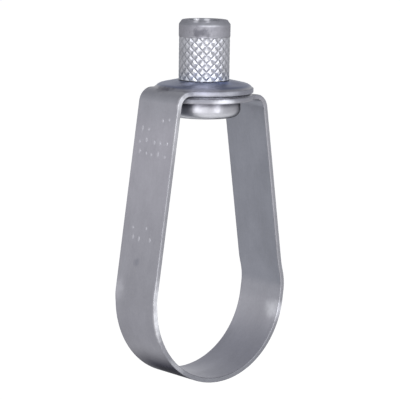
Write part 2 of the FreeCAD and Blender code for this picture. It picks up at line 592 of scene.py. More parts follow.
        least, most = (self.roughness + change for change in self.cloud_roughness)
        rough = w.span(clouds, *COARSE_NOISE, least, most, smooth=False)
        edges = w.span(
            w.parts(place)["Z"], *self.edge_top_height,
            self.edge_roughness - self.roughness, self.edge_top_roughness - self.roughness,
        )
        w.feed(shader.inputs["Roughness"], w.math("ADD", rough, w.product(edge, edges)))

        fine = w.product(self.fine.lay(w, place), self.fine_relief)
        relief = w.math("ADD", w.product(grain, self.grain_relief), fine)
        dents = w.product(self.dents.lay(w, place), self.dent_relief)
        add_relief(w, shader, w.math("ADD", relief, dents), self.relief_strength, self.relief_depth)
        return material

    def under_shaded(
        self, w: Wiring, place: bpy.types.NodeSocket, inner: bpy.types.NodeSocket
    ) -> bpy.types.NodeSocket:
        """Share of the painted shade and dark painted reflection on the outside of the saddle's bottom,
        weaker to the far side.

        Args:
            w: the material's wiring.
            place: coordinates in millimetres.
            inner: 1 on the strip's inner side.

        Returns:
            The share.
        """
        parts = w.parts(place)
        facing = w.math("ADD", w.facing_up(), w.product(parts["Y"], self.under_shade_slant))
        return w.product(
            w.span(facing, *self.under_shade_facing, 1.0, 0.0),
            w.span(inner, *self.inner_blend, 1.0, 0.0),
            w.span(parts["Z"], *self.under_shade_height, 1.0, 0.0),
            w.span(parts["Y"], *self.under_shade_depth, 1.0, self.under_shade_far_share),
        )

    def colour(
        self,
        w: Wiring,
        place: bpy.types.NodeSocket,
        inner: bpy.types.NodeSocket,
        edge: bpy.types.NodeSocket,
    ) -> bpy.types.NodeSocket:
        """Zinc's colour over the strip, with its painted shade, highlights and reflections.

        Args:
            w: the material's wiring.
            place: coordinates in millimetres.
            inner: 1 on the strip's inner side.
            edge: 1 on its rounded edges.

        Returns:
            The colour.
        """
        height = w.parts(place)["Z"]
        facing = w.facing_up()
        # Painted shade: darker towards the bottom.
        colour = w.blend(w.span(height, self.low_at, self.high_at), tone(self.low), tone(self.high))
        colour = w.blend(w.span(height, self.foot_at, self.low_at), tone(self.foot), colour)
        # Painted shade over the top bends.
        top = w.span(height, self.high_at, self.bend_at, 0.0, self.bend_share)
        colour = w.blend(top, colour, tone(self.bend))
        bent = w.product(w.span(height, *self.bend_height), w.span(facing, *self.bend_facing))
        colour = w.blend(bent, colour, tone(self.bend))
        # Painted shade inside, painted light where the inside faces up.
        lining = w.blend(w.span(facing, *self.bowl_facing), tone(self.inside), tone(self.bowl))
        lining = w.blend(w.span(facing, *self.seat_facing), lining, tone(self.seat))
        colour = w.blend(inner, colour, lining)
        # Painted shade with a bluish painted reflection on the eye's dish.
        domed = w.product(w.span(height, *self.eye_height), w.span(facing, *self.eye_facing))
        colour = w.blend(domed, colour, tone(self.eye))
        colour = w.blend(w.product(w.attribute("tick"), self.tick_share), colour, tone(self.tick))
        # Edge tone, with painted shade towards the bottom and darker, bluish painted shade and reflection
        # on the eyes' rims.
        rim = w.blend(w.span(height, *self.edge_low_height), tone(self.edge_low), tone(self.edge))
        rim = w.blend(w.span(height, *self.edge_top_height), rim, tone(self.edge_top))
        colour = w.blend(edge, colour, rim)
        # Spots: a stain and a dark patch, painted highlights and glints, painted light between the eyes
        # and painted reflections on the dish.
        for spot in self.spots:
            colour = spot.lay(w, place, colour)
        return colour


@dataclass(frozen=True)
class NutZinc:
    """Bright zinc plating on turned steel, lighter on the knurl, duller on the collar and chamfer.

    Heights and radii are in millimetres, and the relief's depth is in metres. Painted shade
    darkens the knurl's grooves, the chamfer and the top, and a painted shadow the flange's top; painted
    reflections lighten the flange's lower rounding and the knurl's foot; spots add painted glints on
    the top and in the bore, and a stain on the collar.
    """

    # A painted reflection lightens the flange's lower rounding.
    belly: Colour = (184, 185, 191)
    face: Colour = (164, 164, 171)
    belly_height: Range = (57.2, 58.8)
    shadow: Colour = (98, 98, 106)
    shadow_height: Range = (59.0, 60.8)
    collar: Colour = (146, 146, 153)
    collar_height: Range = (66.0, 67.0)
    # Painted shade in the knurl's grooves, lighter on its crests.
    valley: Colour = (157, 158, 165)
    crest: Colour = (178, 179, 185)
    knurl_radius: Range = (7.60, 7.88)
    knurl_height: Range = (67.2, 80.8)
    knurl_fade: float = 0.4
    # A lighter, bluish painted reflection at the knurl's foot.
    foot: Colour = (174, 179, 191)
    foot_share: float = 0.6
    foot_height: Range = (67.4, 70.5)
    # Painted shade on the chamfer and the top.
    chamfer: Colour = (140, 141, 148)
    chamfer_height: Range = (84.2, 84.5)
    grazing: float = 0.2
    stains: Pattern = Pattern(0.22, 4.0, 0.6, (1.0, 1.0, 1.3))
    stain_noise: Range = (0.45, 0.75)
    stain_shade: Range = (1.03, 0.88)
    speckle: Pattern = Pattern(2.2, 3.0, 0.6)
    speckle_shade: Range = (0.96, 1.04)
    haze: Pattern = Pattern(0.6)
    haze_roughness: Range = (-0.04, 0.06)
    roughness: float = 0.34
    barrel_roughness: float = 0.46
    collar_roughness: float = 0.74
    lines: Pattern = Pattern(1.0, 2.0, 0.5, (0.25, 0.25, 6.0))
    line_relief: float = 0.6
    speckle_relief: float = 0.4
    relief_strength: float = 0.2
    relief_depth: float = 0.03 * MM
    spots: tuple[Spot, ...] = (
        # A dark stain on the collar.
        Spot((-6.1, -5.1, 82.2), (4.6, 4.0, 2.2), (98, 98, 106), 0.75, 0.45),
        # Painted glints on the chamfer's top edge and in the bore's mouth, and a painted highlight on the
        # rounding at the chamfer's foot.
        Spot((-6.1, -3.1, 85.6), (1.4, 1.4, 0.7), (240, 241, 247), 0.5),
        Spot((-3.7, -5.9, 85.6), (1.2, 1.2, 0.6), (232, 233, 240), 0.4),
        Spot((0.6, 4.8, 85.4), (1.5, 1.6, 1.4), (240, 241, 245), 0.85),
        Spot((3.6, 3.2, 85.4), (1.4, 1.4, 1.4), (232, 233, 238), 0.6),
        Spot((-3.8, -6.8, 84.35), (5.4, 3.2, 0.55), (198, 199, 206), 0.65),
    )

    def material(self) -> bpy.types.Material:
        """Build the finish.

        Returns:
            The material.
        """
        material, w, shader = new_material("nut_zinc")
        shader.inputs["Metallic"].default_value = 1.0
        shader.inputs["Specular Tint"].default_value = (*[self.grazing] * 3, 1.0)
        place = w.in_millimetres()
        height = w.parts(place)["Z"]
        low, high = self.knurl_height
        fade = self.knurl_fade
        knurl = w.product(
            w.span(height, low, low + fade), w.span(height, high - fade, high, 1.0, 0.0)
        )
        speckle = self.speckle.lay(w, place)
        shade = w.product(
            w.span(self.stains.lay(w, place), *self.stain_noise, *self.stain_shade),
            w.span(speckle, *FINE_NOISE, *self.speckle_shade, smooth=False),
        )
        w.feed(shader.inputs["Base Color"], w.times(self.colour(w, place, height, knurl), shade))

        least, most = (self.roughness + change for change in self.haze_roughness)
        hazy = w.span(self.haze.lay(w, place), *COARSE_NOISE, least, most, smooth=False)
        barrel = w.span(height, low - fade, low, 0.0, self.barrel_roughness - self.roughness)
        rim = w.span(height, high, high + fade, 0.0, self.collar_roughness - self.barrel_roughness)
        w.feed(shader.inputs["Roughness"], w.math("ADD", hazy, w.math("ADD", barrel, rim)))

        lines = w.product(self.lines.lay(w, place), self.line_relief)
        relief = w.math("ADD", lines, w.product(speckle, self.speckle_relief))
        add_relief(w, shader, relief, self.relief_strength, self.relief_depth)
        return material

    def colour(
        self,
        w: Wiring,
        place: bpy.types.NodeSocket,
        height: bpy.types.NodeSocket,
        knurl: bpy.types.NodeSocket,
    ) -> bpy.types.NodeSocket:
        """Plating's colour over the nut, with its painted shade, shadow, reflections and glints.

        Args:
            w: the material's wiring.
            place: coordinates in millimetres.
            height: the coordinates' height.
            knurl: 1 on the knurled band.

        Returns:
            The colour.
        """
        radius = w.length(w.vector("MULTIPLY", place, (1.0, 1.0, 0.0)))
        # Painted shade in the knurl's grooves.
        rolled = w.blend(w.span(radius, *self.knurl_radius), tone(self.valley), tone(self.crest))
        # A lighter, bluish painted reflection at the knurl's foot.
        foot = w.span(height, *self.foot_height, self.foot_share, 0.0)
        rolled = w.blend(foot, rolled, tone(self.foot))
        # Painted reflection on the flange's lower rounding, and painted shadow on its top.
        plain = w.blend(w.span(height, *self.belly_height), tone(self.belly), tone(self.face))
        plain = w.blend(w.span(height, *self.shadow_height), plain, tone(self.shadow))
        plain = w.blend(w.span(height, *self.collar_height), plain, tone(self.collar))
        colour = w.blend(knurl, plain, rolled)
        # Painted shade on the chamfer and the top.
        colour = w.blend(w.span(height, *self.chamfer_height), colour, tone(self.chamfer))
        # Spots: a stain on the collar and painted glints and highlights.
        for spot in self.spots:
            colour = spot.lay(w, place, colour)
        return colour


def make_object(name: str, spots: list, faces: list[tuple[int, ...]]) -> bpy.types.Object:
    """A smooth mesh object in the frame.

    Args:
        name: the object's name.
        spots: its points.
        faces: its faces, wound outwards.

    Returns:
        The new object, linked to the scene.
    """
    mesh = bpy.data.meshes.new(name)
    mesh.from_pydata([tuple(spot) for spot in spots], [], faces)
    mesh.update()
    mesh.polygons.foreach_set("use_smooth", [True] * len(mesh.polygons))
    made = bpy.data.objects.new(name, mesh)
    bpy.context.scene.collection.objects.link(made)
    return made


def lay_out(piece: bpy.types.Object, lie: list[tuple[float, float]]) -> None:
    """Store each point's place on the flat strip as a UV map.

    Args:
        piece: the strip.
        lie: place of each point, along and across, in metres.
    """
    mesh = piece.data
    corner_points = np.zeros(len(mesh.loops), dtype=np.int32)
    mesh.loops.foreach_get("vertex_index", corner_points)
    layer = mesh.uv_layers.new(name="strip_lie")
    layer.data.foreach_set("uv", np.array(lie, dtype=np.float32)[corner_points].ravel())


def mark(piece: bpy.types.Object, name: str, values: list[float]) -> None:
    """Store a number at each point for the materials to read.

    Args:
        piece: the piece.
        name: the attribute's name.
        values: one number for each point.
    """
    layer = piece.data.attributes.new(name, "FLOAT", "POINT")
    layer.data.foreach_set("value", np.array(values, dtype=np.float32))


class Detail:
    """Fine geometry that a node tree adds to a piece."""

    title: ClassVar[str] = "detail"
    socket_kinds: ClassVar[tuple] = (
        (int, "NodeSocketInt"),
        (float, "NodeSocketFloat"),
        (tuple, "NodeSocketVector"),
    )

    def sizes(self) -> dict[str, int | float | Point]:
        """The tree's inputs, by name."""
        raise NotImplementedError

    def wire(self, w: Wiring, given: bpy.types.bpy_prop_collection) -> bpy.types.NodeSocket:
        """Wire the new geometry.

        Args:
            w: the tree's wiring.
            given: outputs of the group input, by name.

        Returns:
            The new geometry.
        """
        raise NotImplementedError

    def tree(self) -> bpy.types.NodeTree:
        """Build the node tree: the new geometry joined to the piece, made real, in one material.

        Returns:
            The node tree.
        """
        tree = bpy.data.node_groups.new(self.title, "GeometryNodeTree")
        tree.interface.new_socket("Geometry", in_out="INPUT", socket_type="NodeSocketGeometry")
        for name, size in self.sizes().items():
            kind = next(kind for number, kind in self.socket_kinds if isinstance(size, number))
            tree.interface.new_socket(name, in_out="INPUT", socket_type=kind)
        tree.interface.new_socket("Material", in_out="INPUT", socket_type="NodeSocketMaterial")
        tree.interface.new_socket("Geometry", in_out="OUTPUT", socket_type="NodeSocketGeometry")
        w = Wiring(tree)
        given = w.node("NodeGroupInput").outputs
        joined = w.through("GeometryNodeJoinGeometry", self.wire(w, given))
        w.feed(joined.inputs[0], given["Geometry"])
        real = w.through("GeometryNodeRealizeInstances", joined.outputs[0])
        dressed = w.through("GeometryNodeSetMaterial", real.outputs[0])
        w.feed(dressed.inputs["Material"], given["Material"])
        w.through("NodeGroupOutput", dressed.outputs[0])
        return tree

    def grow_on(self, piece: bpy.types.Object, material: bpy.types.Material) -> None:
        """Run the tree on a piece and keep the result as its plain mesh.

        Args:
            piece: the piece that the tree adds to.
            material: the finish of the whole piece.
        """
        tree = self.tree()
        values = {**self.sizes(), "Material": material}
        modifier = piece.modifiers.new(self.title, "NODES")
        modifier.node_group = tree
        for item in tree.interface.items_tree:
            if item.name in values:
                modifier[item.identifier] = values[item.name]
        graph = bpy.context.evaluated_depsgraph_get()
        mesh = bpy.data.meshes.new_from_object(piece.evaluated_get(graph))
        piece.modifiers.remove(modifier)
        old = piece.data
        piece.data = mesh
        bpy.data.meshes.remove(old)


@dataclass
class Sheet:
    """The middle surface of a sheet: points, faces wound to the outer side, and where each point lies."""

    points: list[Point] = field(default_factory=list)
    lie: list[tuple[float, float]] = field(default_factory=list)
    faces: list[tuple[int, ...]] = field(default_factory=list)

    def add(self, point: Point, lie: tuple[float, float]) -> int:
        """Add one point.

        Args:
            point: its place.
            lie: its place on the flat strip, along and across.

        Returns:
            Its index.
        """
        self.points.append(point)
        self.lie.append(lie)
        return len(self.points) - 1

    def normals(self) -> np.ndarray:
        """Work out the points' normals, weighted by face area.

        Returns:
            A unit normal for each point.
        """
        spots = np.array(self.points)
        quads = np.array([face if len(face) == 4 else face + face[-1:] for face in self.faces])
        corners = spots[quads]
        face_normals = np.cross(corners[:, 2] - corners[:, 0], corners[:, 3] - corners[:, 1])
        total = np.zeros_like(spots)
        for corner in range(4):
            np.add.at(total, quads[:, corner], face_normals)
        return total / np.linalg.norm(total, axis=1)[:, None]

    def rims(self) -> list[list[int]]:
        """Find the sheet's free edges.

        Returns:
            Closed loops of points, each walked with the sheet on its left.
        """
        directed = set()
        for face in self.faces:
            for first, last in zip(face, face[1:] + face[:1]):
                directed.add((first, last))
        follow = {first: last for first, last in directed if (last, first) not in directed}
        loops = []
        while follow:
            start = min(follow)
            loop = [start]
            step = follow.pop(start)
            while step != start:
                loop.append(step)
                step = follow.pop(step)
            loops.append(loop)
        return loops

    def thicken(self, name: str, thickness: float, edge_radius: float, arc_steps: int) -> bpy.types.Object:
        """Give the sheet its thickness and rounded edges.

        Args:
            name: name of the new object.
            thickness: of the sheet.
            edge_radius: rounding along every free edge.
            arc_steps: facets in each rounding.

        Returns:
            The closed piece.
        """
        middle = np.array(self.points)
        normals = self.normals()
        half = thickness / 2.0
        inset = np.zeros_like(middle)
        outward: dict[int, np.ndarray] = {}
        rims = self.rims()
        for rim in rims:
            count = len(rim)
            for index, point in enumerate(rim):
                run = middle[rim[(index + 1) % count]] - middle[rim[index - 1]]
                away = np.cross(run, normals[point])
                outward[point] = away / np.linalg.norm(away)
                inset[point] = -edge_radius * outward[point]
        total = len(middle)
        spots = list(middle + inset + half * normals) + list(middle + inset - half * normals)
        lie = list(self.lie) * 2
        edge = [0.0] * (2 * total)
        inner = [0.0] * total + [1.0] * total
        faces: list[tuple[int, ...]] = list(self.faces)
        faces += [tuple(total + corner for corner in reversed(face)) for face in self.faces]
        angles = [90.0 * (1.0 - step / arc_steps) for step in range(1, arc_steps + 1)]
        profile = [(angle, half - edge_radius) for angle in angles]
        profile += [(-angle, edge_radius - half) for angle in reversed(angles)]
        for rim in rims:
            rings = [rim]
            for angle, height in profile:
                turn = math.radians(angle)
                ring = []
                for point in rim:
                    out = edge_radius * (math.cos(turn) - 1.0)
                    up = height + edge_radius * math.sin(turn)
                    spots.append(middle[point] + out * outward[point] + up * normals[point])
                    lie.append(self.lie[point])
                    edge.append(1.0)
                    inner.append(0.5)
                    ring.append(len(spots) - 1)
                rings.append(ring)
            rings.append([total + point for point in rim])
            for upper, lower in zip(rings, rings[1:]):
                for index in range(len(rim)):
                    after = (index + 1) % len(rim)
                    faces.append((upper[index], lower[index], lower[after], upper[after]))
        made = make_object(name, spots, faces)
        lay_out(made, lie)
        mark(made, "edge", edge)
        mark(made, "inner", inner)
        return made


@dataclass(frozen=True)
class Station:
    """One place on a middle line: x, z, heading in degrees and the way walked to it."""

    x: float
    z: float
    heading: float
    way: float


def walk(
    start: Station, steps: list[tuple], arc_step: float = 5.0, run_step: float = MM
) -> list[Station]:
    """Sample a middle line of straight runs and tangent arcs.

    Args:
        start: where the line starts.
        steps: ("run", length) or ("turn", radius, new heading), in order.
        arc_step: degrees between samples on an arc.
        run_step: distance between samples on a run.

    Returns:
        The stations, the start among them.
    """
    line = [start]
    for step in steps:
        here = line[-1]
        angle = math.radians(here.heading)
        if step[0] == "run":
            count = max(1, math.ceil(step[1] / run_step))
            for index in range(1, count + 1):
                way = step[1] * index / count
                line.append(
                    Station(
                        here.x + way * math.cos(angle),
                        here.z + way * math.sin(angle),
                        here.heading,
                        here.way + way,
                    )
                )
            continue
        radius, new_heading = step[1], step[2]
        side = 1.0 if new_heading > here.heading else -1.0
        count = max(1, math.ceil(abs(new_heading - here.heading) / arc_step))
        for index in range(1, count + 1):
            heading = here.heading + (new_heading - here.heading) * index / count
            turned = math.radians(heading)
            line.append(
                Station(
                    here.x + side * radius * (math.sin(turned) - math.sin(angle)),
                    here.z + side * radius * (math.cos(angle) - math.cos(turned)),
                    heading,
                    here.way + radius * abs(turned - angle),
                )
            )
    return line


@dataclass(frozen=True)
class TickRows(Detail):
    """Rows of short plain upright ticks, raised on a flat of the strip.

    Their middle lies a way down from the top of a leg. Its place and the ways up and out of the
    strip follow from the leg.
    """

    rows: int
    columns: int
    row_pitch: float
    column_pitch: float
    kept: float
    down: float
    width: float = 0.42 * MM
    length: float = 0.92 * MM
    shortest: float = 0.5
    rise: float = 0.07 * MM
    stray: float = 0.45 * MM
    seed: int = 4
    segments: int = 12
    rings: int = 6
    place: Point = (0.0, 0.0, 0.0)
    up: Point = (0.0, 0.0, 1.0)
    out: Point = (-1.0, 0.0, 0.0)
    title: ClassVar[str] = "tick_rows"

    def sizes(self) -> dict[str, int | float | Point]:
        """Name the tree's inputs.

        Returns:
            Their values, by name.
        """
        return {
            "Rows": self.rows,
            "Columns": self.columns,
            "Row Pitch": self.row_pitch,
            "Column Pitch": self.column_pitch,
            "Width": self.width,
            "Length": self.length,
            "Shortest": self.shortest,
            "Rise": self.rise,
            "Stray": self.stray,
            "Kept": self.kept,
            "Seed": self.seed,
            "Place": tuple(self.place),
            "Up": tuple(self.up),
            "Out": tuple(self.out),
        }

    def wire(self, w: Wiring, given: bpy.types.bpy_prop_collection) -> bpy.types.NodeSocket:
        """Scatter flat ellipsoids over a lattice and stand it on the strip.

        Args:
            w: the tree's wiring.
            given: outputs of the group input, by name.

        Returns:
            The ticks.
        """
        lattice = w.node("GeometryNodeMeshGrid")
        w.feed(lattice.inputs["Vertices X"], given["Columns"])
        w.feed(lattice.inputs["Vertices Y"], given["Rows"])
        w.feed(lattice.inputs["Size X"], w.math("SUBTRACT", given["Columns"], 1.0))
        w.feed(lattice.inputs["Size Y"], w.math("SUBTRACT", given["Rows"], 1.0))
        chosen = w.node("FunctionNodeRandomValue", data_type="BOOLEAN")
        w.feed(chosen.inputs["Probability"], given["Kept"])
        w.feed(chosen.inputs["Seed"], given["Seed"])
        points = w.through("GeometryNodeMeshToPoints", lattice.outputs["Mesh"])
        w.feed(points.inputs["Selection"], in_use(chosen.outputs, "Value"))
        cell = w.position()
        level = w.combined(
            w.product(cell["X"], given["Column Pitch"]), w.product(cell["Y"], given["Row Pitch"]), 0.0
        )
        stray = w.node("FunctionNodeRandomValue", data_type="FLOAT_VECTOR")
        in_use(stray.inputs, "Min").default_value = (-1.0, -1.0, 0.0)
        in_use(stray.inputs, "Max").default_value = (1.0, 1.0, 0.0)
        w.feed(stray.inputs["Seed"], given["Seed"])
        off = w.times(in_use(stray.outputs, "Value"), given["Stray"])
        spread = w.moved(points.outputs[0], w.vector("ADD", level, off))

        tick = w.node("GeometryNodeMeshUVSphere")
        tick.inputs["Segments"].default_value = self.segments
        tick.inputs["Rings"].default_value = self.rings
        tick.inputs["Radius"].default_value = 1.0
        share = w.node("FunctionNodeRandomValue", data_type="FLOAT")
        w.feed(in_use(share.inputs, "Min"), given["Shortest"])
        in_use(share.inputs, "Max").default_value = 1.0
        w.feed(share.inputs["Seed"], given["Seed"])
        length = w.product(given["Length"], in_use(share.outputs, "Value"))
        ticks = w.through("GeometryNodeInstanceOnPoints", spread)
        w.feed(ticks.inputs["Instance"], tick.outputs["Mesh"])
        w.feed(ticks.inputs["Scale"], w.combined(given["Width"], length, given["Rise"]))
        real = w.through("GeometryNodeRealizeInstances", ticks.outputs[0])

        flat = w.position()
        side_way = w.vector("CROSS_PRODUCT", given["Up"], given["Out"])
        place = given["Place"]
        for way, reach in ((side_way, flat["X"]), (given["Up"], flat["Y"]), (given["Out"], flat["Z"])):
            place = w.vector("ADD", place, w.times(way, reach))
        stood = w.moved(real.outputs[0], place)
        worn = w.through("GeometryNodeStoreNamedAttribute", stood, data_type="FLOAT", domain="POINT")
        worn.inputs["Name"].default_value = "tick"
        worn.inputs["Value"].default_value = 1.0
        return worn.outputs[0]


@dataclass(frozen=True)
class Knee:
    """How the saddle runs out straight, turns in and meets one leg."""

    saddle_end: float
    runout: float
    heading: float
    radius: float
    blend_radius: float

    def steps(self, saddle_radius: float, leg_heading: float) -> list[tuple]:
        """Lead the middle line through half the saddle and this knee, up to the leg.

        Args:
            saddle_radius: of the strip's middle line under the pipe.
            leg_heading: heading of the leg, in degrees.

        Returns:
            The steps.
        """
        return [
            ("turn", saddle_radius, self.saddle_end),
            ("run", self.runout),
            ("turn", self.radius, self.heading),
            ("turn", self.blend_radius, leg_heading),
        ]


@dataclass
class RingBand:
    """The folded strip: saddle, knees, legs, top bends and two pressed eyes, one above the other."""

    width: float = mount_size("pipe_seat", "length_mm")
    seat_radius: float = mount_size("pipe_seat", "r_mm")
    thickness: float = 1.5 * MM
    left_knee: Knee = Knee(86.4, 2.3 * MM, 99.7, 12.4 * MM, 20.0 * MM)
    right_knee: Knee = Knee(82.8, 2.7 * MM, 106.2, 16.0 * MM, 27.8 * MM)
    leg_lean: float = 8.35
    bend_radius: float = 3.95 * MM
    upper_middle: float = 64.35 * MM
    layer_step: float = 2.3 * MM
    eye_radius: float = 15.34 * MM
    hole_radius: float = 6.65 * MM
    rim_flat: float = 0.25 * MM
    rim_heading: float = 48.0
    foot_radius: float = 0.95 * MM
    wall_length: float = 0.35 * MM
    shoulder_radius: float = 2.0 * MM
    cone_heading: float = 12.0
    seat_flat: float = 8.3 * MM
    seat_blend: float = 3.0 * MM
    neck_fillet: float = 2.0 * MM
    neck_reach: float = 15.95 * MM
    edge_radius: float = 0.3 * MM
    edge_inset: float = 0.45 * MM
    edge_steps: int = 5
    across: int = 12
    rim_steps: int = 96
    neck_steps: int = 5
    fillet_steps: int = 6
    arc_step: float = 3.0
    run_step: float = 2.6 * MM
    dish_step: float = 9.0
    border: float = 0.45 * MM
    border_room: float = 2.2
    ring_shares: tuple[float, ...] = (0.0, 0.35, 0.7)
    ticks: tuple[TickRows, ...] = (
        TickRows(4, 5, 3.65 * MM, 3.1 * MM, 0.7, 10.1 * MM),
        TickRows(2, 4, 3.6 * MM, 2.9 * MM, 0.6, 40.0 * MM),
    )

    def layer(self, side: Side) -> float:
        """Height of the middle of one side's eye rim."""
        return self.upper_middle if side is Side.LEFT else self.upper_middle - self.layer_step

    def bottom(self) -> Station:
        """Middle of the strip at the bottom of the saddle."""
        return Station(0.0, -(self.seat_radius + self.thickness / 2.0), 0.0, 0.0)

    def leg_steps(self, side: Side) -> list[tuple]:
        """Lead the middle line from the saddle's bottom up one leg, to the end of its top bend.

        Args:
            side: which leg.

        Returns:
            The steps.
        """
        knee = self.left_knee if side is Side.LEFT else self.right_knee
        steps = knee.steps(-self.bottom().z, 90.0 + self.leg_lean)
        foot = walk(self.bottom(), steps)[-1]
        lean = math.radians(self.leg_lean)
        rise = self.bend_radius * (1.0 - math.sin(lean))
        steps.append(("run", (self.layer(side) - foot.z - rise) / math.cos(lean)))
        steps.append(("turn", self.bend_radius, 180.0))
        return steps

    def bend_end(self, side: Side) -> Station:
        """Where one leg's top bend ends and the strip lies level."""
        return walk(self.bottom(), self.leg_steps(side))[-1]

    def leg_top(self, side: Side) -> Station:
        """Where one straight leg ends and its top bend starts."""
        return walk(self.bottom(), self.leg_steps(side)[:-1])[-1]

    def leg_line(self, side: Side) -> list[Station]:
        """Sample one side's middle line, up to the eye's neck.

        Args:
            side: which leg.

        Returns:
            The stations.
        """
        end = self.bend_end(side)
        steps = self.leg_steps(side)
        share = (self.neck_reach - end.x) / self.bend_radius
        steps[-1] = ("turn", self.bend_radius, 180.0 - math.degrees(math.asin(share)))
        return walk(self.bottom(), steps, self.arc_step, self.run_step)

    def dish(self) -> list[tuple[float, float]]:
        """Trace the pressed eye's middle surface from its rim in to its hole.

        Returns:
            Radius and rise of its points.
        """
        steps = [
            ("run", self.rim_flat),
            ("turn", self.foot_radius, self.rim_heading),
            ("run", self.wall_length),
            ("turn", self.shoulder_radius, self.cone_heading),
        ]
        rim = Station(0.0, 0.0, 0.0, 0.0)
        line = walk(rim, steps, self.dish_step)
        cone = math.radians(self.cone_heading)
        reach = self.eye_radius - line[-1].x - self.seat_flat - self.seat_blend * math.sin(cone)
        steps.append(("run", reach / math.cos(cone)))
        steps.append(("turn", self.seat_blend, 0.0))
        steps.append(("run", self.seat_flat - self.hole_radius))
        line = walk(rim, steps, self.dish_step)
        return [(self.eye_radius - station.x, station.z) for station in line[1:]]

    def neck_outline(self) -> list[tuple[float, float]]:
        """Trace the plan outline of an eye whose neck points along +X.

        Returns:
            Its points, from the neck's lower corner round.
        """
        half = self.width / 2.0
        inner = half - self.edge_inset
        rows = [-half] + [inner * (2.0 * i / self.across - 1.0) for i in range(self.across + 1)] + [half]
        outline = [(self.neck_reach, row) for row in rows]
        centre_y = half + self.neck_fillet
        centre_x = math.sqrt((self.eye_radius + self.neck_fillet) ** 2 - centre_y ** 2)
        side = []
        for index in range(1, self.neck_steps + 1):
            share = index / self.neck_steps
            side.append((self.neck_reach + (centre_x - self.neck_reach) * share, half))
        last = math.degrees(math.atan2(-centre_y, -centre_x)) % 360.0
        for index in range(1, self.fillet_steps + 1):
            turn = math.radians(270.0 + (last - 270.0) * index / self.fillet_steps)
            side.append((
                centre_x + self.neck_fillet * math.cos(turn),
                centre_y + self.neck_fillet * math.sin(turn),
            ))
        outline += side
        first = math.atan2(centre_y, centre_x)
        for index in range(1, self.rim_steps):
            turn = first + (2.0 * math.pi - 2.0 * first) * index / self.rim_steps
            outline.append((self.eye_radius * math.cos(turn), self.eye_radius * math.sin(turn)))
        outline += [(x, -y) for x, y in reversed(side)]
        return outline

    def place_eye(self, sheet: Sheet, side: Side) -> list[int]:
        """Add one eye to the sheet.

        Args:
            sheet: the sheet to add to.
            side: which leg carries it.

        Returns:
            The points of its neck, in order along +Y.
        """
        layer = self.layer(side)
        end = self.bend_end(side)
        sign = side.value

        def spot(x: float, y: float, rise: float) -> int:
            """Add one point of the eye.

            Args:
                x: its place in plan, from the eye's centre towards the neck.
                y: its place in plan, across the strip.
                rise: of the dish there.

            Returns:
                Its index in the sheet.
            """
            over = max(0.0, x - end.x)
            drop = self.bend_radius - math.sqrt(self.bend_radius ** 2 - over ** 2)
            way = end.way + end.x - x
            if over > 0.0:
                way = end.way - self.bend_radius * math.asin(over / self.bend_radius)
            return sheet.add((sign * x, sign * y, layer - drop + rise), (sign * way, sign * y))

        outline = self.neck_outline()
        dish = self.dish()
        grid = [[spot(x, y, 0.0) for x, y in outline]]
        for share in self.ring_shares:
            ring = []
            for index, (x, y) in enumerate(outline):
                far = math.hypot(x, y)
                room = far - dish[0][0]
                if room < self.border_room * self.border:
                    ring.append(grid[0][index])
                    continue
                pull = 1.0 - (self.border + share * (room - self.border)) / far
                ring.append(spot(x * pull, y * pull, 0.0))
            grid.append(ring)
        for radius, rise in dish:
            ring = []
            for x, y in outline:
                far = math.hypot(x, y)
                ring.append(spot(radius * x / far, radius * y / far, rise))
            grid.append(ring)
        count = len(outline)
        for outer, inner in zip(grid, grid[1:]):
            for index in range(count):
                after = (index + 1) % count
                face = (inner[index], outer[index], outer[after], inner[after])
                kept = tuple(dict.fromkeys(face))
                if len(kept) > 2:
                    sheet.faces.append(kept)
        neck = grid[0][: self.across + 3]
        return neck if side is Side.RIGHT else list(reversed(neck))

    def fold(self) -> bpy.types.Object:
        """Make the strip as one closed piece.

        Returns:
            The object.
        """
        sheet = Sheet()
        left_neck = self.place_eye(sheet, Side.LEFT)
        right_neck = self.place_eye(sheet, Side.RIGHT)
        rows = [left_neck]
        spread = [sheet.points[point][1] for point in right_neck]
        for station in reversed(self.leg_line(Side.LEFT)[:-1]):
            rows.append([sheet.add((-station.x, y, station.z), (-station.way, y)) for y in spread])
        for station in self.leg_line(Side.RIGHT)[1:-1]:
            rows.append([sheet.add((station.x, y, station.z), (station.way, y)) for y in spread])
        rows.append(right_neck)
        for before, after in zip(rows, rows[1:]):
            for index in range(len(spread) - 1):
                sheet.faces.append((before[index], before[index + 1], after[index + 1], after[index]))
        return sheet.thicken("ring_strip", self.thickness, self.edge_radius, self.edge_steps)

    def leg_face(self, side: Side, down: float) -> tuple[Vector, Vector, Vector]:
        """A place on the outside of one leg, and its directions.

        Args:
            side: which leg.
            down: distance below the end of the top bend.

        Returns:
            The place in the middle of the strip's width, the way up the leg and the way out of it.
        """
        top = self.leg_top(side)
        turn = math.radians(top.heading)
        up = Vector((side.value * math.cos(turn), 0.0, math.sin(turn)))
        out = Vector((side.value * math.sin(turn), 0.0, -math.cos(turn)))
        middle = Vector((side.value * top.x, 0.0, top.z))
        return middle - up * down + out * (self.thickness / 2.0), up, out

    def build(self, finish: StripZinc) -> bpy.types.Object:
        """Build the strip in its finish, with the rows of ticks on its left leg.

        Args:
            finish: the strip's finish.

        Returns:
            The finished object.
        """
        strip = self.fold()
        material = finish.material()
        for rows in self.ticks:
            place, up, out = self.leg_face(Side.LEFT, rows.down)
            replace(rows, place=place, up=up, out=out).grow_on(strip, material)
        return strip


